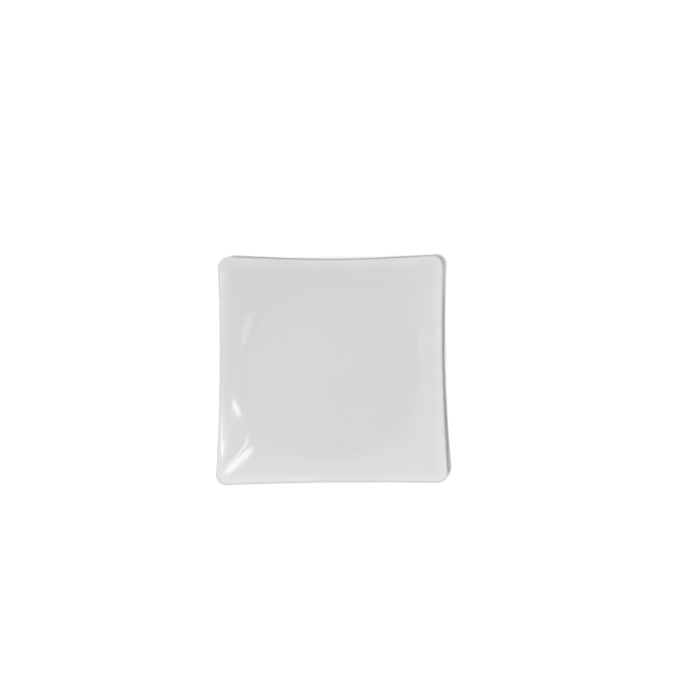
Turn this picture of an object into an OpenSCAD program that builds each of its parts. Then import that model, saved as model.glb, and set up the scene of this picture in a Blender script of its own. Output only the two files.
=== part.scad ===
// Square plate with a round well, a wall that sweeps up to raised corners, and a round foot.
// It stands on its foot at z = 0, centred on the Z axis, with its sides square to X and Y.
// All sizes are those of the finished plate, glaze included.

/* [Outline] */
// Width of the plate across its corners
plate_w = 210; // [180:5:260]
// Radius of the four rounded corners, seen from above
corner_r = 12.5; // [9:0.5:20]
// How far the middle of each side is drawn in
side_draw = 0.8; // [0.4:0.1:3]

/* [Rim and wall] */
// Height of the rim at the middle of a side
side_h = 15; // [13:0.5:19]
// Height of the rim at a corner
corner_h = 27; // [20:0.5:34]
// Thickness of the wall at the rim, where the edge is fully rounded
rim_t = 3.2; // [2.4:0.1:4.4]
// How the wall steepens from the well to the rim (1 would be straight)
flare = 1.15; // [1.05:0.05:1.6]
// Length of the soft bend with which the well turns up into the wall
bend = 5; // [2:0.5:8]

/* [Well] */
// Radius of the flat round well
well_r = 78; // [64:1:88]
// Thickness of the plate under the well
well_t = 4.5; // [3.6:0.1:6]

/* [Foot ring] */
// How far the middle of the foot ring lies inside the edge of the well
foot_inset = 14; // [10:0.5:30]
// Height of the underside above the table
foot_h = 3; // [2.4:0.1:5]
// Width of the flat face that the plate stands on
foot_w = 3; // [2:0.1:5]
// Slope of the foot's two flanks, in degrees from upright
foot_draft = 12; // [5:1:20]
// Radius of the two edges of the standing face
foot_edge_r = 0.6; // [0.3:0.1:0.9]
// Radius of the hollow corners where the foot meets the underside
foot_root_r = 1.6; // [0.9:0.1:2]

/* [Glaze] */
// Thickness of the glaze coat
glaze_t = 0.3; // [0.2:0.05:0.5]
// Height of the band above the standing face that is wiped bare
bare_h = 0.9; // [0.8:0.1:1.3]

/* [Hidden] */

// Counts of points and steps: along a side and a corner, up the wall, over and under the lip,
// below the wall, and in the foot's small rounds
side_n = 16;
corner_n = 8;
wall_n = 8;
lip_over_n = 3;
lip_under_n = 2;
under_n = 5;
edge_n = 4;
root_n = 5;
// Rings of the wall crowd towards the bend at the well by this power
crowding = 1.5;
// How far the foot runs up into the clay, and the coat over the coat beside it, where they join
foot_sink = 1;
coat_lap = 1.5;
clay_color = [0.90, 0.88, 0.84];
glaze_color = [0.93, 0.93, 0.92];

face_z = foot_h + well_t;
clay_under_z = foot_h + glaze_t;
lip_r = rim_t / 2;
foot_r = well_r - foot_inset;

// Outline: each side is one shallow arc that bows inwards and runs tangent into the corner arcs
half_w = plate_w / 2;
corner_c = half_w - corner_r;
side_and_corner_r = (corner_c * corner_c + side_draw * side_draw) / (2 * side_draw);
side_r = side_and_corner_r - corner_r;
side_c = half_w - side_draw + side_r;
side_turn = asin(corner_c / side_and_corner_r);
side_reach = half_w - side_draw;
side_spread = atan(side_r * sin(side_turn) / side_reach);
corner_reach = corner_c * sqrt(2) + corner_r;

function plan(p) = [p[0], p[1]];
function heading(a) = [cos(a), sin(a)];
function spin(p, a) = [p[0] * cos(a) - p[1] * sin(a), p[0] * sin(a) + p[1] * cos(a)];
function arc(centre, r, from, to, steps) =
    [for (i = [0 : steps]) centre + r * heading(from + (to - from) * i / steps)];

// Turn along a side's arc that lies about at bearing `a` from the middle of the plate
function side_at(a) = asin(side_reach * tan(a) / side_r);

// A quarter of the outline, as [x, y, the direction that the rim faces]
quarter = concat(
    [for (i = [0 : side_n - 1]) let (t = side_at(side_spread * (2 * i / side_n - 1)))
        [side_c - side_r * cos(t), side_r * sin(t), -t]],
    [for (i = [0 : corner_n - 1]) let (a = (90 + 2 * side_turn) * i / corner_n - side_turn)
        [corner_c + corner_r * cos(a), corner_c + corner_r * sin(a), a]]);
outline = [for (q = [0 : 3]) for (p = quarter) concat(spin(p, 90 * q), [p[2] + 90 * q])];
count = len(outline);

// The rim climbs in step with its distance from the middle of the plate
function rim_z(p) =
    let (climb = (norm(plan(p)) - side_reach) / (corner_reach - side_reach))
    side_h + (corner_h - side_h) * climb;

// Share of its rise that the wall has made `s` of the way out, where the bend is `e` of the wall,
// and how steeply it climbs there
function full_climb(e) = pow(1 + e * e, flare / 2) - pow(e, flare);
function climb_share(s, e) = (pow(s * s + e * e, flare / 2) - pow(e, flare)) / full_climb(e);
function climb_rate(s, e) = flare * s * pow(s * s + e * e, flare / 2 - 1) / full_climb(e);

// Centre line of the rounded lip, and the direction that it faces at each point
lip_out = [for (p = outline) heading(p[2])];
lip = [for (i = [0 : count - 1]) let (c = plan(outline[i]) - lip_r * lip_out[i])
    [c[0], c[1], rim_z(outline[i]) - lip_r]];

// Upward lean of the lip, taken from the slope of the wall and the climb of the rim, so that
// wall and lip run into each other without a crease
lip_lean = [for (i = [0 : count - 1])
    let (
        here = plan(lip[i]),
        run = norm(here) - well_r,
        radial = here / norm(here),
        before = lip[(i + count - 1) % count],
        after = lip[(i + 1) % count],
        climb = (after[2] - before[2]) / norm(plan(after) - plan(before)),
        slope = climb_rate(1, bend / run) * (lip[i][2] + lip_r - face_z) / run,
        along = spin(lip_out[i], 90)
    )
    atan((slope - climb * (along * radial)) / (lip_out[i] * radial))];

// A point on the wall, `s` of the way from the well to the lip, on the face (side 1) or the
// underside (side -1), `inset` inside the finished surface
function wall_point(i, side, s, inset) =
    let (
        low_z = side > 0 ? face_z : foot_h,
        low = well_r * plan(lip[i]) / norm(plan(lip[i])),
        high = plan(lip[i]) - side * lip_r * sin(lip_lean[i]) * lip_out[i],
        rise = lip[i][2] + side * lip_r * cos(lip_lean[i]) - low_z,
        run = norm(high - low),
        toward = (high - low) / run,
        lean = atan(climb_rate(s, bend / run) * rise / run),
        p = low + (run * s + side * inset * sin(lean)) * toward
    )
    [p[0], p[1], low_z + rise * climb_share(s, bend / run) - side * inset * cos(lean)];

// Angles round the lip in section: from where it leaves the face, over its highest and its
// outermost point, to where it meets the underside
lip_angles = [for (lean = lip_lean) concat(
    [90 + lean],
    [for (k = [0 : lip_over_n]) 90 - 90 * k / lip_over_n],
    [for (k = [1 : lip_under_n]) (lean - 90) * k / lip_under_n])];

// A point on the lip at the k-th of its angles, `inset` inside the finished surface
function lip_point(i, k, inset) =
    let (
        a = lip_angles[i][k],
        p = plan(lip[i]) + (lip_r - inset) * cos(a) * lip_out[i]
    )
    [p[0], p[1], lip[i][2] + (lip_r - inset) * sin(a)];

function wall_ring(side, s, inset) = [for (i = [0 : count - 1]) wall_point(i, side, s, inset)];
function lip_ring(k, inset) = [for (i = [0 : count - 1]) lip_point(i, k, inset)];
function flat_ring(r, z) =
    [for (c = lip) let (p = r * plan(c) / norm(plan(c))) [p[0], p[1], z]];

// Rings of the whole shell: from the well out over the face, round the lip and back below
function shell_rings(inset) = concat(
    [for (k = [0 : wall_n - 1]) wall_ring(1, pow(k / wall_n, crowding), inset)],
    [for (k = [0 : len(lip_angles[0]) - 1]) lip_ring(k, inset)],
    [for (k = [under_n - 1 : -1 : 0]) wall_ring(-1, pow(k / under_n, crowding), inset)]);

function reversed(list) = [for (i = [len(list) - 1 : -1 : 0]) list[i]];

// Two triangles for the four corners of a patch, split along its shorter diagonal
function patch(points, a, b, c, d) =
    norm(points[a] - points[c]) <= norm(points[b] - points[d])
        ? [[a, b, c], [a, c, d]]
        : [[a, b, d], [b, c, d]];

// A solid skinned over rings of points, with a flat face at the first ring and at the last
module skin(rings) {
    points = [for (ring = rings) each ring];
    last = len(rings) - 1;
    polyhedron(
        points = points,
        faces = concat(
            [[for (i = [count - 1 : -1 : 0]) i]],
            [for (k = [0 : last - 1]) for (i = [0 : count - 1])
                let (j = (i + 1) % count, in = k * count, out = (k + 1) * count)
                each patch(points, in + i, in + j, out + j, out + i)],
            [[for (i = [0 : count - 1]) last * count + i]]),
        convexity = 6);
}

// Foot ring in section, with x measured from the ring's middle: the flank, the round edge
// below it and the hollow corner above it
flank_up = [sin(foot_draft), cos(foot_draft)];
flank_out = [cos(foot_draft), -sin(foot_draft)];
edge_c = [foot_w / 2, foot_edge_r];
flank_low = edge_c + foot_edge_r * flank_out;
root_z = clay_under_z - foot_root_r;
root_run = (root_z - flank_low[1] - foot_root_r * flank_out[1]) / flank_up[1];
root_c = flank_low + root_run * flank_up + foot_root_r * flank_out;
bare_top = flank_low + (bare_h - flank_low[1]) / flank_up[1] * flank_up;
root_from = 180 - foot_draft;
root_to = 90;

// One side of the foot in clay, from the standing face to just inside the body
foot_side = concat(
    arc(edge_c, foot_edge_r, -90, -foot_draft, edge_n),
    arc(root_c, foot_root_r, root_from, root_to, root_n),
    [[root_c[0], clay_under_z + foot_sink]]);

// The coat on one side of the foot, from the wiped band up to the underside and out to `reach`
function coat_side(reach) = concat(
    [bare_top],
    arc(root_c, foot_root_r, root_from, root_to, root_n),
    [[reach, clay_under_z], [reach, foot_h]],
    arc(root_c, foot_root_r - glaze_t, root_to, root_from, root_n),
    [bare_top + glaze_t * flank_out]);

// Where the coat of the wall, which follows the square, meets the coat of the round foot
join_r = (foot_r + root_c[0] + well_r) / 2;

module foot_ring() {
    rotate_extrude($fn = 180)
        polygon(concat(
            [for (p = foot_side) [foot_r + p[0], p[1]]],
            [for (p = reversed(foot_side)) [foot_r - p[0], p[1]]]));
}

// Fired clay: floor, wall, core of the rim and foot ring
module body() {
    color(clay_color)
        union() {
            skin(shell_rings(glaze_t));
            foot_ring();
        }
}

// Glaze over the face, round the lip and down the underside to the outside of the foot
module face_glaze() {
    color(glaze_color)
        union() {
            skin(concat(
                shell_rings(0),
                [flat_ring(join_r, foot_h), flat_ring(join_r, clay_under_z)],
                reversed(shell_rings(glaze_t))));
            rotate_extrude($fn = 180)
                polygon([for (p = coat_side(join_r + coat_lap - foot_r)) [foot_r + p[0], p[1]]]);
        }
}

// Glaze on the underside within the foot ring
module base_glaze() {
    color(glaze_color)
        rotate_extrude($fn = 180)
            polygon([for (p = coat_side(foot_r)) [foot_r - p[0], p[1]]]);
}

body();
face_glaze();
base_glaze();
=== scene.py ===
import math
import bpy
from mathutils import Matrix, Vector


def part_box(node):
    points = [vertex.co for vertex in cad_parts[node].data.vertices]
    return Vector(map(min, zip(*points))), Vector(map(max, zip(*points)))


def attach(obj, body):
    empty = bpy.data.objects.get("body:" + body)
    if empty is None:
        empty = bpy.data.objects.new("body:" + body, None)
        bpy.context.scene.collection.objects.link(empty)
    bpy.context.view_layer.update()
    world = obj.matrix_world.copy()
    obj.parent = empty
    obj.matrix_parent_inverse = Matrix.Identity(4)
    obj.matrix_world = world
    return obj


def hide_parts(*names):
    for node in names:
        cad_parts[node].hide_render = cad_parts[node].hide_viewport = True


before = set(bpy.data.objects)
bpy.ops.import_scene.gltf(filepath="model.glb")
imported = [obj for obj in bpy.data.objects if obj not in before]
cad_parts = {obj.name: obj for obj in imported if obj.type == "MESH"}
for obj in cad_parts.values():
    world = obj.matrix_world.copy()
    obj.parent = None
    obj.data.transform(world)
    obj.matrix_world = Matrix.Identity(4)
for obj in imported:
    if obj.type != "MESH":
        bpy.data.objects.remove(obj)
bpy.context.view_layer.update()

from types import SimpleNamespace

import bpy
from bpy.props import FloatProperty, FloatVectorProperty, IntProperty, PointerProperty
from bpy.types import Operator, Panel, PropertyGroup
from mathutils import Matrix, Vector

# A square plate with a round well, modelled as it is made: a clay body, and two coats of glaze
# parted by the bare standing face of the foot ring. Lengths are in metres.

bl_info = {
    "name": "Square Plate",
    "version": (1, 0, 0),
    "blender": (4, 5, 0),
    "location": "3D View > Sidebar > Plate",
    "description": "Builds a glazed square plate with a round well, and a stage to show it on",
    "category": "Add Mesh",
}

MM = 0.001
QUARTER_TURN = math.pi / 2

# Sizes that the frame already holds
face_low, face_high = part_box("face_glaze")
clay_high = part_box("body")[1]
base_low, base_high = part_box("base_glaze")
COAT = face_high.x - clay_high.x
FOOT_DRAFT = math.radians(12)
# A coat ends square to the foot's flank, so its outer corner hangs lower than the clay it bares
BARE_HEIGHT = base_low.z + COAT * math.sin(FOOT_DRAFT)


class PlateSizes(PropertyGroup):
    """The sizes of the finished plate, glaze included, and how finely it is built."""

    width: FloatProperty(
        name="Width", description="Width across the corners",
        default=face_high.x - face_low.x, unit="LENGTH")
    corner_radius: FloatProperty(
        name="Corner radius", description="Radius of the four corners, seen from above",
        default=10 * MM, unit="LENGTH")
    side_draw: FloatProperty(
        name="Side draw", description="How far the middle of each side is drawn in",
        default=0.8 * MM, unit="LENGTH")
    side_height: FloatProperty(
        name="Side height", description="Height of the rim at the middle of a side",
        default=15 * MM, unit="LENGTH")
    corner_height: FloatProperty(
        name="Corner height", description="Height of the rim at a corner",
        default=face_high.z, unit="LENGTH")
    rim_thickness: FloatProperty(
        name="Rim thickness", description="Thickness of the wall at the rounded rim",
        default=3.2 * MM, unit="LENGTH")
    flare: FloatProperty(
        name="Flare", description="How the wall steepens from the well to the rim", default=1.15)
    bend: FloatProperty(
        name="Bend", description="Length of the soft bend between the well and the wall",
        default=8 * MM, unit="LENGTH")
    well_radius: FloatProperty(
        name="Well radius", description="Radius of the flat round well",
        default=78 * MM, unit="LENGTH")
    well_thickness: FloatProperty(
        name="Well thickness", description="Thickness of the plate under the well",
        default=4.5 * MM, unit="LENGTH")
    foot_inset: FloatProperty(
        name="Foot inset", description="From the edge of the well in to the middle of the foot",
        default=14 * MM, unit="LENGTH")
    foot_height: FloatProperty(
        name="Foot height", description="Height of the underside above the table",
        default=base_high.z - COAT, unit="LENGTH")
    foot_width: FloatProperty(
        name="Foot width", description="Width of the flat standing face",
        default=3 * MM, unit="LENGTH")
    foot_draft: FloatProperty(
        name="Foot draft", description="Slope of the foot's flanks from upright",
        default=FOOT_DRAFT, subtype="ANGLE")
    foot_edge_radius: FloatProperty(
        name="Foot edge radius", description="Radius of the edges of the standing face",
        default=0.6 * MM, unit="LENGTH")
    foot_root_radius: FloatProperty(
        name="Foot root radius", description="Radius of the hollow where foot meets underside",
        default=1.6 * MM, unit="LENGTH")
    glaze_thickness: FloatProperty(
        name="Glaze thickness", description="Thickness of each coat", default=COAT, unit="LENGTH")
    bare_height: FloatProperty(
        name="Bare height", description="Height above the table of the band wiped bare",
        default=BARE_HEIGHT, unit="LENGTH")
    side_steps: IntProperty(
        name="Side steps", description="Steps along each side", default=40)
    corner_steps: IntProperty(
        name="Corner steps", description="Steps round each corner", default=24)


class PlateFinish(PropertyGroup):
    """The colours and surfaces of the glaze and the clay."""

    glaze_color: FloatVectorProperty(
        name="Glaze", description="Colour of the glaze over the white clay",
        default=(0.76, 0.76, 0.745), subtype="COLOR")
    # Paler where the glaze runs thin over the rim, and also a painted highlight along the top of
    # the lip
    thin_glaze_and_lip_highlight_color: FloatVectorProperty(
        name="Thin glaze", description="Colour where the glaze runs thin over the rim",
        default=(0.87, 0.87, 0.86), subtype="COLOR")
    pooled_color: FloatVectorProperty(
        name="Pooled glaze", description="Colour where the glaze runs together and lies thick",
        default=(0.745, 0.745, 0.733), subtype="COLOR")
    clay_color: FloatVectorProperty(
        name="Clay", description="Colour of the bare fired clay",
        default=(0.72, 0.69, 0.64), subtype="COLOR")
    glaze_roughness: FloatProperty(
        name="Glaze roughness", description="Roughness of the gloss glaze", default=0.05)


class StageSettings(PropertyGroup):
    """The floor and the light."""

    floor_color: FloatVectorProperty(
        name="Floor", description="Colour of the floor", default=(0.93, 0.93, 0.93),
        subtype="COLOR")
    floor_lift: FloatProperty(
        name="Floor lift", description="Light added to the floor where it is seen directly",
        default=0.3)
    room_light: FloatProperty(
        name="Room light", description="Strength of the even light from all round", default=0.08)
    horizon_light: FloatProperty(
        name="Horizon light", description="Strength of the light that comes in level",
        default=0.5)
    zenith_light: FloatProperty(
        name="Zenith light", description="Brightness of the backdrop straight overhead",
        default=0.3)
    key_power: FloatProperty(
        name="Key", description="Power of the lamp overhead", default=8.6, subtype="POWER")
    side_power: FloatProperty(
        name="Side", description="Power of the broad lamp on the right", default=1.7,
        subtype="POWER")
    back_power: FloatProperty(
        name="Back", description="Power of the low lamp at the back left", default=2.1,
        subtype="POWER")
    gleam: FloatProperty(
        name="Gleam", description="Brightness of the oval lamps that the glaze mirrors",
        default=5.5)


class Rule:
    """A value in a node tree. Python's operators on it add the nodes that work the result out."""

    def __init__(self, socket):
        self.socket = socket

    def __add__(self, other):
        return combined("ADD", self, other)

    def __sub__(self, other):
        return combined("SUBTRACT", self, other)

    def __rsub__(self, other):
        return combined("SUBTRACT", other, self)

    def __mul__(self, other):
        return scaled(self, other) if is_vector(self) else combined("MULTIPLY", self, other)

    def __truediv__(self, other):
        return combined("DIVIDE", self, other)

    def __neg__(self):
        return self * -1.0


def is_vector(value):
    return isinstance(value, Rule) and value.socket.type == "VECTOR"


def tree_of(*values):
    """The node tree that these values belong to."""
    return next(value.socket.id_data for value in values if isinstance(value, Rule))


def feed(socket, value):
    """Give a socket its value: a link where the value is a Rule, otherwise a constant."""
    if isinstance(value, Rule):
        socket.id_data.links.new(value.socket, socket)
    else:
        socket.default_value = value


def placed(tree, kind, settings=None, **inputs):
    """A new node of that kind, with its settings, and its inputs under lower-case names."""
    node = tree.nodes.new(kind)
    for name, value in (settings or {}).items():
        setattr(node, name, value)
    sockets = {socket.name.lower().replace(" ", "_"): socket for socket in reversed(node.inputs)}
    for name, value in inputs.items():
        feed(sockets[name], value)
    return node


def combined(operation, *values):
    """A Math node on these values, or a Vector Math node if one of them is a vector."""
    kind = "ShaderNodeVectorMath" if any(map(is_vector, values)) else "ShaderNodeMath"
    node = placed(tree_of(*values), kind, {"operation": operation})
    for socket, value in zip(node.inputs, values):
        feed(socket, value)
    return Rule(node.outputs["Value" if operation in ("LENGTH", "DOT_PRODUCT") else 0])


def scaled(vector, factor):
    """The vector, longer or shorter by that factor."""
    settings = {"operation": "SCALE"}
    node = placed(tree_of(vector), "ShaderNodeVectorMath", settings, vector=vector, scale=factor)
    return Rule(node.outputs["Vector"])


def sine(angle):
    return combined("SINE", angle)


def cosine(angle):
    return combined("COSINE", angle)


def power(base, exponent):
    return combined("POWER", base, exponent)


def length(vector):
    return combined("LENGTH", vector)


def dot(a, b):
    return combined("DOT_PRODUCT", a, b)


def point(x, y, z=0.0):
    """A vector from three numbers, of which one at least is a Rule."""
    return Rule(placed(tree_of(x, y, z), "ShaderNodeCombineXYZ", x=x, y=y, z=z).outputs[0])


def part(vector, axis):
    """The X, Y or Z of a vector."""
    return Rule(placed(tree_of(vector), "ShaderNodeSeparateXYZ", vector=vector).outputs[axis])


def heading(angle):
    """The level direction at that angle from +X."""
    return point(cosine(angle), sine(angle))


def turned(vector, angle):
    """The vector turned about the upright axis."""
    settings = {"rotation_type": "Z_AXIS"}
    node = placed(tree_of(vector), "ShaderNodeVectorRotate", settings, vector=vector, angle=angle)
    return Rule(node.outputs[0])


def pick(condition, if_true, if_false):
    """One of two Rules of the same kind, by a condition that is 0 or 1."""
    settings = {"input_type": "VECTOR" if is_vector(if_true) else "FLOAT"}
    node = placed(
        tree_of(condition), "GeometryNodeSwitch", settings,
        switch=condition, true=if_true, false=if_false)
    return Rule(node.outputs[0])


def between(start, end, share):
    """What lies at that share of the way from the start to the end."""
    return start + (end - start) * share


# How finely the section is stepped, and how its rings crowd towards the bend at the well
WELL_STEPS = 16
WALL_STEPS = 34
LIP_STEPS = 18
UNDER_STEPS = 20
FLAT_STEPS = 6
ROOT_STEPS = 8
FLANK_STEPS = 2
EDGE_STEPS = 6
CROWDING = 1.5

# Points of a skin that are nearer than this are one point
MERGE_DISTANCE = MM / 1000

# The round bead on the ends of a coat, against the thickness of the coat
BEAD_SHARE = 1 / 3
BEAD_SEGMENTS = 3
BEAD_ANGLE = math.radians(60)

# How thick the glaze lies, from 0 where it runs thin to 1 where it pools, and the thickness up to
# which the clay shines through it, a paler tone that is also a painted highlight along the top of
# the lip
THIN, EVEN, POOLED = 0.0, 0.5, 1.0
THIN_BAND = 0.08


def rim_line(size, bearing):
    """The rim at each of its bearings: where the lip's middle lies, how it faces and leans."""
    # In plan each side is a shallow arc that bows inwards and runs tangent into the corner arcs
    corner_c = size.width / 2 - size.corner_radius
    side_reach = size.width / 2 - size.side_draw
    corner_reach = corner_c * math.sqrt(2) + size.corner_radius
    square_sum = corner_c * corner_c + size.side_draw * size.side_draw
    side_and_corner_r = square_sum / (size.side_draw * 2)
    side_r = side_and_corner_r - size.corner_radius
    side_turn = combined("ARCSINE", corner_c / side_and_corner_r)
    side_spread = combined("ARCTANGENT", side_r * sine(side_turn) / side_reach)

    quarter_steps = size.side_steps + size.corner_steps
    quarter = combined("FLOOR", bearing / quarter_steps)
    step = bearing - quarter * quarter_steps
    on_side = combined("LESS_THAN", step, size.side_steps)

    aim = side_spread * (step / size.side_steps * 2 - 1)
    side_angle = combined("ARCSINE", side_reach * combined("TANGENT", aim) / side_r)
    half_sine = sine(side_angle / 2)
    side_edge = point(side_reach + side_r * half_sine * half_sine * 2, side_r * sine(side_angle))

    corner_share = (step - size.side_steps) / size.corner_steps
    corner_angle = (side_turn * 2 + QUARTER_TURN) * corner_share - side_turn
    corner_edge = heading(corner_angle) * size.corner_radius + point(corner_c, corner_c)

    turn = quarter * QUARTER_TURN
    edge = turned(pick(on_side, side_edge, corner_edge), turn)
    out = turned(heading(pick(on_side, -side_angle, corner_angle)), turn)

    # The rim climbs in step with its distance from the middle of the plate
    climb_rate = (size.corner_height - size.side_height) / (corner_reach - side_reach)
    rim_z = (length(edge) - side_reach) * climb_rate + size.side_height
    along = turned(out, QUARTER_TURN)
    climb = climb_rate * dot(edge, along) / length(edge)

    # The lip leans with the slope of the wall, so that wall and lip run into each other
    lip_r = size.rim_thickness / 2
    middle = edge - out * lip_r
    radial = combined("NORMALIZE", middle)
    face_z = size.foot_height + size.well_thickness
    run = length(middle) - size.well_radius
    slope = wall_climb(size, 1.0, size.bend / run)[1] * (rim_z - face_z) / run
    lean = combined("ARCTANGENT", (slope - climb * dot(along, radial)) / dot(out, radial))
    return SimpleNamespace(
        middle=middle, middle_z=rim_z - lip_r, out=out, radial=radial, lean=lean, lip_r=lip_r,
        face_z=face_z)


def foot_line(size):
    """The foot ring in section, with X measured out from the ring's middle and Z upright."""
    flank_up = point(sine(size.foot_draft), 0.0, cosine(size.foot_draft))
    flank_out = point(cosine(size.foot_draft), 0.0, -sine(size.foot_draft))
    edge_c = point(size.foot_width / 2, 0.0, size.foot_edge_radius)
    flank_low = edge_c + flank_out * size.foot_edge_radius
    root_z = size.foot_height + size.glaze_thickness - size.foot_root_radius
    rise = root_z - part(flank_low, "Z") - size.foot_root_radius * part(flank_out, "Z")
    root_from = flank_low + flank_up * (rise / part(flank_up, "Z"))
    bare_rise = (size.bare_height - part(flank_low, "Z")) / part(flank_up, "Z")
    return SimpleNamespace(
        flank_out=flank_out, flank_low=flank_low, edge_c=edge_c,
        root_c=root_from + flank_out * size.foot_root_radius,
        bare_top=flank_low + flank_up * bare_rise,
        ring_r=size.well_radius - size.foot_inset)


def wall_climb(size, share, bend):
    """The share of its rise that the wall has made at that share of its run, and its slope."""
    power_of_square = size.flare / 2
    from_bend = bend * bend + share * share
    start = power(bend, size.flare)
    whole = power(bend * bend + 1, power_of_square) - start
    climbed = (power(from_bend, power_of_square) - start) / whole
    return climbed, size.flare * share * power(from_bend, power_of_square - 1) / whole


def wall_place(size, rim, side, share, inset):
    """A place on the wall, on the face (side 1) or the underside (side -1)."""
    low_z = rim.face_z if side > 0 else size.foot_height
    low = rim.radial * size.well_radius
    high = rim.middle - rim.out * (sine(rim.lean) * rim.lip_r * side)
    rise = rim.middle_z + cosine(rim.lean) * rim.lip_r * side - low_z
    run = length(high - low)
    toward = combined("NORMALIZE", high - low)
    climbed, climb_rate = wall_climb(size, share, size.bend / run)
    lean = combined("ARCTANGENT", climb_rate * rise / run)
    level = low + toward * (run * share + sine(lean) * inset * side)
    z = low_z + rise * climbed - cosine(lean) * inset * side
    return level + point(0.0, 0.0, z)


def shell_sections(size, rim, foot, inset):
    """From the middle of the well out over the face, round the lip and in below to the foot."""

    def well(share):
        return rim.radial * (size.well_radius * share) + point(0.0, 0.0, rim.face_z - inset)

    def face_wall(share):
        return wall_place(size, rim, 1, power(share, CROWDING), inset)

    def lip(share):
        angle = rim.lean + QUARTER_TURN - share * math.pi
        reach = rim.lip_r - inset
        upright = point(0.0, 0.0, rim.middle_z + sine(angle) * reach)
        return rim.middle + rim.out * (cosine(angle) * reach) + upright

    def under_wall(share):
        return wall_place(size, rim, -1, power(1 - share, CROWDING), inset)

    def underside(share):
        foot_side = foot.ring_r + part(foot.root_c, "X")
        reach = between(size.well_radius, foot_side, share)
        return rim.radial * reach + point(0.0, 0.0, size.foot_height + inset)

    return [
        (WELL_STEPS, well, EVEN, EVEN),
        # The glaze runs thin up the wall and over the top of the lip, where its paler tone is also
        # a painted highlight
        (WALL_STEPS, face_wall, EVEN, THIN),
        (LIP_STEPS, lip, THIN, EVEN),
        (UNDER_STEPS, under_wall, EVEN, EVEN),
        (FLAT_STEPS, underside, EVEN, POOLED),
    ]


def foot_sections(size, rim, foot, inset, side, bare):
    """Down the outside of the foot (side 1) or up its inside (side -1), coated or bare."""
    root_r = size.foot_root_radius - size.glaze_thickness + inset
    root_low = foot.root_c - foot.flank_out * root_r

    def root(share):
        angle = (QUARTER_TURN - size.foot_draft) * share + QUARTER_TURN
        return foot.root_c + point(cosine(angle), 0.0, sine(angle)) * root_r

    def coated_flank(share):
        coat_end = foot.bare_top + foot.flank_out * (size.glaze_thickness - inset)
        return between(root_low, coat_end, share)

    def bare_flank(share):
        return between(root_low, foot.flank_low, share)

    def edge(share):
        angle = (size.foot_draft - QUARTER_TURN) * share - size.foot_draft
        return foot.edge_c + point(cosine(angle), 0.0, sine(angle)) * size.foot_edge_radius

    def round_the_ring(rule):
        def place(share):
            spot = rule(share if side > 0 else 1 - share)
            reach = foot.ring_r + part(spot, "X") * side
            return rim.radial * reach + point(0.0, 0.0, part(spot, "Z"))
        return place

    flank = bare_flank if bare else coated_flank
    steps = [(ROOT_STEPS, root, POOLED, POOLED), (FLANK_STEPS, flank, POOLED, EVEN)]
    if bare:
        steps.append((EDGE_STEPS, edge, EVEN, EVEN))
    if side < 0:
        steps = [(count, rule, end, start) for count, rule, start, end in reversed(steps)]
    return [(count, round_the_ring(rule), start, end) for count, rule, start, end in steps]


def hollow_section(size, rim, foot, inset):
    """Across the underside inside the foot ring, in to the middle."""

    def hollow(share):
        reach = (foot.ring_r - part(foot.root_c, "X")) * (1 - share)
        return rim.radial * reach + point(0.0, 0.0, size.foot_height + inset)

    return [(WELL_STEPS, hollow, POOLED, EVEN)]


def standing_section(size, rim, foot):
    """Across the flat face that the plate stands on."""

    def standing(share):
        return rim.radial * (foot.ring_r + size.foot_width * (0.5 - share))

    return [(FLANK_STEPS, standing, EVEN, EVEN)]


def clay_sections(size, rim, foot, inset):
    return [
        *shell_sections(size, rim, foot, inset),
        *foot_sections(size, rim, foot, inset, 1, bare=True),
        *standing_section(size, rim, foot),
        *foot_sections(size, rim, foot, inset, -1, bare=True),
        *hollow_section(size, rim, foot, inset),
    ]


def face_coat_sections(size, rim, foot, inset):
    return [
        *shell_sections(size, rim, foot, inset),
        *foot_sections(size, rim, foot, inset, 1, bare=False),
    ]


def base_coat_sections(size, rim, foot, inset):
    return [
        *foot_sections(size, rim, foot, inset, -1, bare=False),
        *hollow_section(size, rim, foot, inset),
    ]


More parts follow.
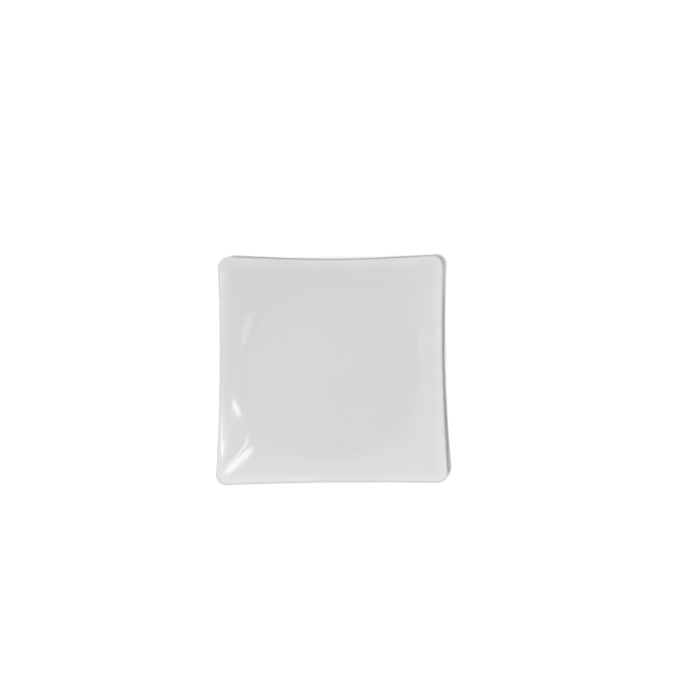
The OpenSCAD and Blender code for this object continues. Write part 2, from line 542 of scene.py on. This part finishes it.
def skin_tree(name, sections_of, material):
    """A tree that lays a grid round the plate, ring by ring, by the rules of its sections."""
    tree = bpy.data.node_groups.new(name, "GeometryNodeTree")
    tree.is_modifier = True
    for setting in settings_of(PlateSizes):
        whole = setting.type == "INT"
        socket_type = "NodeSocketInt" if whole else "NodeSocketFloat"
        tree.interface.new_socket(setting.name, in_out="INPUT", socket_type=socket_type)
    tree.interface.new_socket("Inset", in_out="INPUT", socket_type="NodeSocketFloat")
    tree.interface.new_socket("Geometry", in_out="OUTPUT", socket_type="NodeSocketGeometry")
    given = tree.nodes.new("NodeGroupInput")
    size = SimpleNamespace()
    for setting in settings_of(PlateSizes):
        setattr(size, setting.identifier, Rule(given.outputs[setting.name]))
    inset = Rule(given.outputs["Inset"])

    around = (size.side_steps + size.corner_steps) * 4
    index = Rule(tree.nodes.new("GeometryNodeInputIndex").outputs[0])
    ring = combined("FLOOR", index / (around + 1))
    bearing = combined("MODULO", index - ring * (around + 1), around)
    rim, foot = rim_line(size, bearing), foot_line(size)
    sections = sections_of(size, rim, foot, inset)

    start = sum(count for count, rule, pool_from, pool_to in sections)
    grid = placed(
        tree, "GeometryNodeMeshGrid", vertices_x=start + 1, vertices_y=around + 1)
    place = pool = None
    for count, rule, pool_from, pool_to in reversed(sections):
        start -= count
        share = (ring - start) / count
        here, pool_here = rule(share), share * (pool_to - pool_from) + pool_from
        if place is not None:
            inside = combined("LESS_THAN", ring, start + count)
            here = pick(inside, here, place)
            pool_here = pick(inside, pool_here, pool)
        place, pool = here, pool_here

    skin = placed(
        tree, "GeometryNodeStoreNamedAttribute", {"data_type": "FLOAT", "domain": "POINT"},
        geometry=Rule(grid.outputs["Mesh"]), name="glaze_pool", value=pool)
    for kind, settings, inputs in (
        ("GeometryNodeSetPosition", {}, {"position": place}),
        ("GeometryNodeMergeByDistance", {}, {"distance": MERGE_DISTANCE}),
        ("GeometryNodeSetShadeSmooth", {"domain": "FACE"}, {}),
        ("GeometryNodeRealizeInstances", {}, {}),
        ("GeometryNodeSetMaterial", {}, {"material": material}),
    ):
        skin = placed(tree, kind, settings, geometry=Rule(skin.outputs[0]), **inputs)
    tree.links.new(skin.outputs[0], tree.nodes.new("NodeGroupOutput").inputs[0])
    arrange(tree)
    return tree


def arrange(tree, column=180, row=40, few_inputs=3):
    """Lay the nodes out in columns, each to the right of what feeds it, and fold small ones."""
    depth = {}

    def depth_of(node):
        if node not in depth:
            feeders = [link.from_node for socket in node.inputs for link in socket.links]
            depth[node] = 1 + max(map(depth_of, feeders), default=0)
        return depth[node]

    filled = {}
    for node in tree.nodes:
        node.hide = len(node.inputs) <= few_inputs
        across = depth_of(node)
        filled[across] = filled.get(across, 0) + 1
        node.location = (across * column, -filled[across] * row)


def settings_of(group):
    """The properties that a PropertyGroup of this file declares, in their order."""
    known = group.bl_rna.properties
    return [known[name] for name in group.__annotations__]


def scene_collection():
    return bpy.context.scene.collection


def skinned(name, sections_of, material, inset=0.0, coat=0.0):
    """A piece of the plate as a plain mesh: its skin, given the coat's thickness if it has one."""
    sizes = bpy.context.scene.plate_sizes
    tree = skin_tree(name + "_skin", sections_of, material)
    piece = bpy.data.objects.new(name, bpy.data.meshes.new(name))
    scene_collection().objects.link(piece)
    skin = piece.modifiers.new("Skin", "NODES")
    skin.node_group = tree
    for socket in tree.interface.items_tree:
        if socket.in_out == "INPUT" and socket.name == "Inset":
            skin[socket.identifier] = inset
        elif socket.in_out == "INPUT":
            skin[socket.identifier] = getattr(sizes, socket.name.lower().replace(" ", "_"))
    if coat:
        thickness = piece.modifiers.new("Coat", "SOLIDIFY")
        thickness.thickness = coat
        thickness.offset = -1
        thickness.use_even_offset = True
        bead = piece.modifiers.new("Bead", "BEVEL")
        bead.limit_method = "ANGLE"
        bead.angle_limit = BEAD_ANGLE
        bead.width = coat * BEAD_SHARE
        bead.segments = BEAD_SEGMENTS
    depsgraph = bpy.context.evaluated_depsgraph_get()
    made = bpy.data.meshes.new_from_object(
        piece.evaluated_get(depsgraph), preserve_all_data_layers=True, depsgraph=depsgraph)
    if not made.polygons:
        raise RuntimeError(f"the skin of {name} came out empty")
    made.name = name
    piece.modifiers.clear()
    piece.data = made
    return piece


def group_of(name, inputs, outputs):
    """An empty shader node group with those sockets, and its input and output nodes."""
    group = bpy.data.node_groups.new(name, "ShaderNodeTree")
    for socket_name, kind in inputs:
        group.interface.new_socket(socket_name, in_out="INPUT", socket_type=kind)
    for socket_name, kind in outputs:
        group.interface.new_socket(socket_name, in_out="OUTPUT", socket_type=kind)
    return group, group.nodes.new("NodeGroupInput"), group.nodes.new("NodeGroupOutput")


def effect(tree, name, build, **inputs):
    """An effect that materials share, built on its first use, with the values of this one."""
    group = bpy.data.node_groups.get(name) or build(name)
    return placed(tree, "ShaderNodeGroup", {"node_tree": group}, **inputs)


def speck_group(name):
    """Small round marks strewn thinly over a surface, such as kiln specks and pinholes."""
    group, given, made = group_of(
        name,
        [("Vector", "NodeSocketVector"), ("Per Metre", "NodeSocketFloat"),
         ("Size", "NodeSocketFloat"), ("Rarity", "NodeSocketFloat")],
        [("Mask", "NodeSocketFloat")])
    cells = placed(
        group, "ShaderNodeTexVoronoi", {"feature": "F1"},
        vector=Rule(given.outputs["Vector"]), scale=Rule(given.outputs["Per Metre"]))
    draw = part(Rule(cells.outputs["Color"]), "X")
    chosen = combined("GREATER_THAN", draw, Rule(given.outputs["Rarity"]))
    size = Rule(given.outputs["Size"]) * part(Rule(cells.outputs["Color"]), "Y")
    near = combined("LESS_THAN", Rule(cells.outputs["Distance"]), size)
    feed(made.inputs["Mask"], chosen * near)
    arrange(group)
    return group


def drift_group(name):
    """Slow drift from one tone to another, as thickness and firing vary over a surface."""
    group, given, made = group_of(
        name,
        [("Vector", "NodeSocketVector"), ("Per Metre", "NodeSocketFloat"),
         ("Color", "NodeSocketColor"), ("Drifted", "NodeSocketColor")],
        [("Color", "NodeSocketColor"), ("Drift", "NodeSocketFloat")])
    clouds = placed(
        group, "ShaderNodeTexNoise", vector=Rule(given.outputs["Vector"]),
        scale=Rule(given.outputs["Per Metre"]), detail=3.0, roughness=0.5)
    drift = Rule(clouds.outputs["Fac"])
    mixed = mix_colors(drift, Rule(given.outputs["Color"]), Rule(given.outputs["Drifted"]))
    feed(made.inputs["Color"], mixed)
    feed(made.inputs["Drift"], drift)
    arrange(group)
    return group


# Where a Mix node keeps its factor, its two colours and its result
COLOR_MIX_INPUTS = (0, 6, 7)
COLOR_MIX_RESULT = 2


def mix_colors(share, first, second):
    """A colour between two, each a Rule or a plain colour."""
    tree = tree_of(share, first, second)
    node = tree.nodes.new("ShaderNodeMix")
    node.data_type = "RGBA"
    for index, value in zip(COLOR_MIX_INPUTS, (share, first, second)):
        feed(node.inputs[index], value)
    return Rule(node.outputs[COLOR_MIX_RESULT])


def ramp(tree, value, span, start, end):
    """A value that goes smoothly from `start` to `end` as another crosses the span."""
    node = placed(
        tree, "ShaderNodeMapRange", {"interpolation_type": "SMOOTHSTEP"}, value=value,
        from_min=span[0], from_max=span[1], to_min=start, to_max=end)
    return Rule(node.outputs[0])


def opaque(color):
    return (*color, 1.0)


def darker(color, share):
    return (*[channel * share for channel in color], 1.0)


def new_material(name):
    """A material with a Principled BSDF, its tree and the piece's own coordinates."""
    material = bpy.data.materials.new(name)
    material.use_nodes = True
    tree = material.node_tree
    coordinates = Rule(tree.nodes.new("ShaderNodeTexCoord").outputs["Object"])
    return material, tree, tree.nodes["Principled BSDF"], coordinates


GLAZE_IOR = 1.52
CLAY_IOR = 1.45
# How far the roughness of the glaze drifts either way, and how deep its ripple is
ROUGHNESS_DRIFT = 0.015
RIPPLE_DEPTH = 0.02 * MM
# The clay at the bottom of its grain, how much rougher it is at the top, and the grain's depth
CLAY_ROUGHNESS = 0.7
GRAIN_ROUGHNESS = 0.2
GRAIN_DEPTH = 0.03 * MM
# The turning marks of the standing face: their pitch, and their depth as a share of the grain's
TURNING_PITCH = 0.35 * MM
TURNING_SHARE = 0.3
# The share of its brightness that a colour keeps where it drifts, and in a speck
DRIFTED_GLAZE = 0.97
DRIFTED_CLAY = 0.9
GLAZE_SPECK = 0.75
CLAY_SPECK = 0.5


def glaze_material():
    """Clear gloss glaze over white clay, paler where it runs thin, which is also a painted
    highlight along the lip, and darker where it pools.
    """
    finish = bpy.context.scene.plate_finish
    material, tree, surface, where = new_material("gloss_glaze")
    stored = placed(tree, "ShaderNodeAttribute", {"attribute_name": "glaze_pool"})
    pool = Rule(stored.outputs["Fac"])
    thick = mix_colors(pool, opaque(finish.glaze_color), opaque(finish.pooled_color))
    # Paler where the glaze runs thin: partly the clay showing through, partly a painted highlight
    # along the top of the lip
    thin = ramp(tree, pool, (0.0, THIN_BAND), 1.0, 0.0)
    tone = mix_colors(thin, thick, opaque(finish.thin_glaze_and_lip_highlight_color))
    drift = effect(
        tree, "tone_drift", drift_group, vector=where, per_metre=24.0, color=tone,
        drifted=darker(finish.glaze_color, DRIFTED_GLAZE))
    specks = effect(
        tree, "kiln_specks", speck_group, vector=where, per_metre=160.0, size=0.05, rarity=0.985)
    marked = mix_colors(
        Rule(specks.outputs["Mask"]), Rule(drift.outputs["Color"]),
        darker(finish.clay_color, GLAZE_SPECK))
    feed(surface.inputs["Base Color"], marked)
    smoothest = finish.glaze_roughness - ROUGHNESS_DRIFT
    roughness = Rule(drift.outputs["Drift"]) * (2 * ROUGHNESS_DRIFT) + smoothest
    feed(surface.inputs["Roughness"], roughness)
    surface.inputs["IOR"].default_value = GLAZE_IOR
    ripple = placed(
        tree, "ShaderNodeTexNoise", vector=where, scale=70.0, detail=1.0, roughness=0.3)
    bump = placed(
        tree, "ShaderNodeBump", height=Rule(ripple.outputs["Fac"]), strength=1.0,
        distance=RIPPLE_DEPTH)
    feed(surface.inputs["Normal"], Rule(bump.outputs["Normal"]))
    arrange(tree)
    return material


def clay_material():
    """Bare fired clay: matt, with a fine grain, and turning marks on the ground standing face."""
    finish = bpy.context.scene.plate_finish
    material, tree, surface, where = new_material("bare_clay")
    drift = effect(
        tree, "tone_drift", drift_group, vector=where, per_metre=90.0,
        color=opaque(finish.clay_color), drifted=darker(finish.clay_color, DRIFTED_CLAY))
    specks = effect(
        tree, "kiln_specks", speck_group, vector=where, per_metre=700.0, size=0.2, rarity=0.93)
    marked = mix_colors(
        Rule(specks.outputs["Mask"]), Rule(drift.outputs["Color"]),
        darker(finish.clay_color, CLAY_SPECK))
    feed(surface.inputs["Base Color"], marked)
    surface.inputs["IOR"].default_value = CLAY_IOR
    grain = placed(
        tree, "ShaderNodeTexNoise", vector=where, scale=2600.0, detail=4.0, roughness=0.65)
    height = Rule(grain.outputs["Fac"])
    feed(surface.inputs["Roughness"], height * GRAIN_ROUGHNESS + CLAY_ROUGHNESS)
    from_axis = length(point(part(where, "X"), part(where, "Y")))
    turning = sine(from_axis * (math.tau / TURNING_PITCH)) * TURNING_SHARE
    bump = placed(
        tree, "ShaderNodeBump", height=height + turning, strength=1.0, distance=GRAIN_DEPTH)
    feed(surface.inputs["Normal"], Rule(bump.outputs["Normal"]))
    arrange(tree)
    return material


def material_named(name, build):
    return bpy.data.materials.get(name) or build()


def finish_piece(piece, node):
    """Put a piece in its CAD node's place, riding on the plate."""
    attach(piece, "root")
    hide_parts(node)


class PLATE_OT_clay(Operator):
    """Cast the clay body: floor, wall, core of the rim and foot ring"""

    bl_idname = "plate.clay"
    bl_label = "Clay Body"

    def execute(self, context):
        piece = skinned(
            "clay", clay_sections, material_named("bare_clay", clay_material),
            inset=context.scene.plate_sizes.glaze_thickness)
        finish_piece(piece, "body")
        return {"FINISHED"}


class PLATE_OT_face_coat(Operator):
    """Glaze the face, the rim and the underside as far as the outside of the foot"""

    bl_idname = "plate.face_coat"
    bl_label = "Face Coat"

    def execute(self, context):
        piece = skinned(
            "face_coat", face_coat_sections, material_named("gloss_glaze", glaze_material),
            coat=context.scene.plate_sizes.glaze_thickness)
        finish_piece(piece, "face_glaze")
        return {"FINISHED"}


class PLATE_OT_base_coat(Operator):
    """Glaze the underside within the foot ring"""

    bl_idname = "plate.base_coat"
    bl_label = "Base Coat"

    def execute(self, context):
        piece = skinned(
            "base_coat", base_coat_sections, material_named("gloss_glaze", glaze_material),
            coat=context.scene.plate_sizes.glaze_thickness)
        finish_piece(piece, "base_glaze")
        return {"FINISHED"}


# The camera hangs over the lower half of the plate and looks almost straight down
CAMERA_PLACE = Vector((6.22, -45.31, 667.19)) * MM
CAMERA_TILT = math.radians(5.54)
CAMERA_LEAN = math.radians(-0.98)
CAMERA_TWIST = math.radians(-0.45)
SENSOR_WIDTH = 36.0
FOCAL_LENGTH = 36.0

# Lamps that the glaze doesn't mirror, each with a power among the stage's settings: name, bearing
# and height in degrees, and distance and width in metres
SOFT_LAMPS = (
    ("key", 225, 73, 1.2, 0.08),
    ("side", 0, 45, 0.9, 0.5),
    ("back", 115, 20, 0.9, 0.3),
)
# Lamps that it mirrors: name, X and Y, length and width in millimetres, bearing of the length in
# degrees, and share of the stage's gleam
GLEAMS = (
    ("gleam", 299, 138, 74, 15, 162, 1.15),
    ("comet", 168, 226, 16, 12, 138, 1.5),
    ("comet_tip", 211, 184, 20, 13, 138, 0.95),
    ("veil", 197, -24, 102, 68, 0, 0.3),
    ("streak", -235, 15, 112, 27, 55, 0.3),
)
GLEAM_HEIGHT = 700.0

WHITE = (1.0, 1.0, 1.0, 1.0)
# How fast the light from all round falls off above and below the horizon
HORIZON_FALLOFF = 4.0
# Heights of a direction, as its sine, between which the backdrop darkens overhead
OVERHEAD = (0.83, 0.95)

FLOOR_HALF_WIDTH = 3.0
FLOOR_ROUGHNESS = 0.9
# Distances from the rim between which the floor's lift sets in, and then grows to white, which
# paints a shadow along the rim. They are measured from a square with sharper corners than the
# plate's, moved the way the shadow falls.
PAINTED_RIM_SHADOW = (2 * MM, 6.5 * MM)
FLOOR_FADE = (120 * MM, 900 * MM)
SHADE_CORNER_RADIUS = 4 * MM
SHADE_SHIFT = Vector((1.5, 2.5, 0.0)) * MM


def add_camera():
    data = bpy.data.cameras.new("camera")
    data.sensor_width = SENSOR_WIDTH
    data.lens = FOCAL_LENGTH
    camera = bpy.data.objects.new("camera", data)
    scene_collection().objects.link(camera)
    turn = (
        Matrix.Rotation(CAMERA_TILT, 3, "X")
        @ Matrix.Rotation(CAMERA_LEAN, 3, "Y")
        @ Matrix.Rotation(CAMERA_TWIST, 3, "Z"))
    camera.matrix_world = Matrix.Translation(CAMERA_PLACE) @ turn.to_4x4()
    bpy.context.scene.camera = camera


def add_lamp(name, size, watts, mirrored):
    """An area lamp that faces straight down: oval if a mirror shows it, and otherwise square."""
    data = bpy.data.lights.new(name, "AREA")
    data.shape = "ELLIPSE" if mirrored else "RECTANGLE"
    data.size, data.size_y = size
    data.energy = watts
    lamp = bpy.data.objects.new(name, data)
    scene_collection().objects.link(lamp)
    lamp.visible_glossy = mirrored
    return lamp


def add_soft_lamps(stage):
    """Lamps that light the plate from all over their width, and that the glaze doesn't mirror."""
    for name, bearing, height, distance, width in SOFT_LAMPS:
        watts = getattr(stage, name + "_power")
        lamp = add_lamp(name, (width, width), watts, mirrored=False)
        around, up = math.radians(bearing), math.radians(height)
        level = distance * math.cos(up)
        place = Vector((
            level * math.cos(around), level * math.sin(around), distance * math.sin(up)))
        turn = (-place).to_track_quat("-Z", "Y").to_matrix()
        lamp.matrix_world = Matrix.Translation(place) @ turn.to_4x4()


def add_gleams(stage):
    """Oval lamps hung level over the plate, which light it little but gleam in its glaze."""
    for name, x, y, long, wide, bearing, share in GLEAMS:
        area = math.pi / 4 * long * wide * MM * MM
        watts = stage.gleam * share * math.pi * area
        lamp = add_lamp(name, (long * MM, wide * MM), watts, mirrored=True)
        lamp.location = Vector((x, y, GLEAM_HEIGHT)) * MM
        lamp.rotation_euler.z = math.radians(bearing)


def seen_directly(tree):
    """1 for rays from the camera, off a mirror or through glass, which show the backdrop."""
    path = tree.nodes.new("ShaderNodeLightPath")
    seen = Rule(path.outputs["Is Camera Ray"])
    for other in ("Is Glossy Ray", "Is Transmission Ray"):
        seen = combined("MAXIMUM", seen, Rule(path.outputs[other]))
    return seen


def add_floor(stage):
    """A pale floor that keeps the plate's shadow, with a painted shadow along the rim, and is
    otherwise white to the camera.
    """
    half = FLOOR_HALF_WIDTH
    mesh = bpy.data.meshes.new("floor")
    mesh.from_pydata(
        [(-half, -half, 0), (half, -half, 0), (half, half, 0), (-half, half, 0)], [],
        [(0, 1, 2, 3)])
    floor = bpy.data.objects.new("floor", mesh)
    scene_collection().objects.link(floor)
    material, tree, surface, where = new_material("floor")
    surface.inputs["Base Color"].default_value = opaque(stage.floor_color)
    surface.inputs["Roughness"].default_value = FLOOR_ROUGHNESS
    surface.inputs["Specular IOR Level"].default_value = 0.0
    surface.inputs["Emission Color"].default_value = WHITE
    # The lift fades out close to the plate, which paints a dark band along the rim as a painted
    # shadow on top of the cast one, and grows far away, where the lamps don't reach
    corner_c = bpy.context.scene.plate_sizes.width / 2 - SHADE_CORNER_RADIUS
    in_painted_shadow = combined("SUBTRACT", where, SHADE_SHIFT)
    beyond_corner = combined("ABSOLUTE", in_painted_shadow) - Vector((corner_c, corner_c, 0.0))
    clear = length(combined("MAXIMUM", beyond_corner, Vector())) - SHADE_CORNER_RADIUS
    near = ramp(tree, clear, PAINTED_RIM_SHADOW, 0.0, stage.floor_lift)
    far = ramp(tree, clear, FLOOR_FADE, 0.0, 1.0)
    feed(surface.inputs["Emission Strength"], seen_directly(tree) * (near + far))
    mesh.materials.append(material)


def add_room_light(stage):
    """Light from all round, stronger where it comes in level, and a white backdrop."""
    world = bpy.data.worlds.new("room")
    bpy.context.scene.world = world
    world.use_nodes = True
    tree = world.node_tree
    background = tree.nodes["Background"]
    background.inputs["Color"].default_value = WHITE
    up = part(Rule(tree.nodes.new("ShaderNodeTexCoord").outputs["Generated"]), "Z")
    level = combined("SUBTRACT", 1.0, combined("ABSOLUTE", up))
    light = power(level, HORIZON_FALLOFF) * stage.horizon_light + stage.room_light
    backdrop = ramp(tree, up, OVERHEAD, 1.0, stage.zenith_light)
    feed(background.inputs["Strength"], between(light, backdrop, seen_directly(tree)))


class PLATE_OT_stage(Operator):
    """Set the floor, the lamps and the camera"""

    bl_idname = "plate.stage"
    bl_label = "Stage"

    def execute(self, context):
        stage = context.scene.plate_stage
        add_floor(stage)
        add_room_light(stage)
        add_soft_lamps(stage)
        add_gleams(stage)
        add_camera()
        context.scene.view_settings.view_transform = "Standard"
        return {"FINISHED"}


STEPS = (PLATE_OT_clay, PLATE_OT_face_coat, PLATE_OT_base_coat, PLATE_OT_stage)
SETTINGS = {
    "plate_sizes": PlateSizes,
    "plate_finish": PlateFinish,
    "plate_stage": StageSettings,
}


class PLATE_PT_sidebar(Panel):
    """The steps that build the plate, and the settings that they read"""

    bl_idname = "PLATE_PT_sidebar"
    bl_label = "Square Plate"
    bl_space_type = "VIEW_3D"
    bl_region_type = "UI"
    bl_category = "Plate"

    def draw(self, context):
        layout = self.layout
        for step in STEPS:
            layout.operator(step.bl_idname)
        for name, group in SETTINGS.items():
            box = layout.box()
            for setting in settings_of(group):
                box.prop(getattr(context.scene, name), setting.identifier)


def register():
    for cls in (*SETTINGS.values(), *STEPS, PLATE_PT_sidebar):
        bpy.utils.register_class(cls)
    for name, group in SETTINGS.items():
        setattr(bpy.types.Scene, name, PointerProperty(type=group))


def unregister():
    for name in SETTINGS:
        delattr(bpy.types.Scene, name)
    for cls in reversed((*SETTINGS.values(), *STEPS, PLATE_PT_sidebar)):
        bpy.utils.unregister_class(cls)


def main():
    register()
    for step in STEPS:
        family, verb = step.bl_idname.split(".")
        getattr(getattr(bpy.ops, family), verb)()


if __name__ == "__main__":
    main()
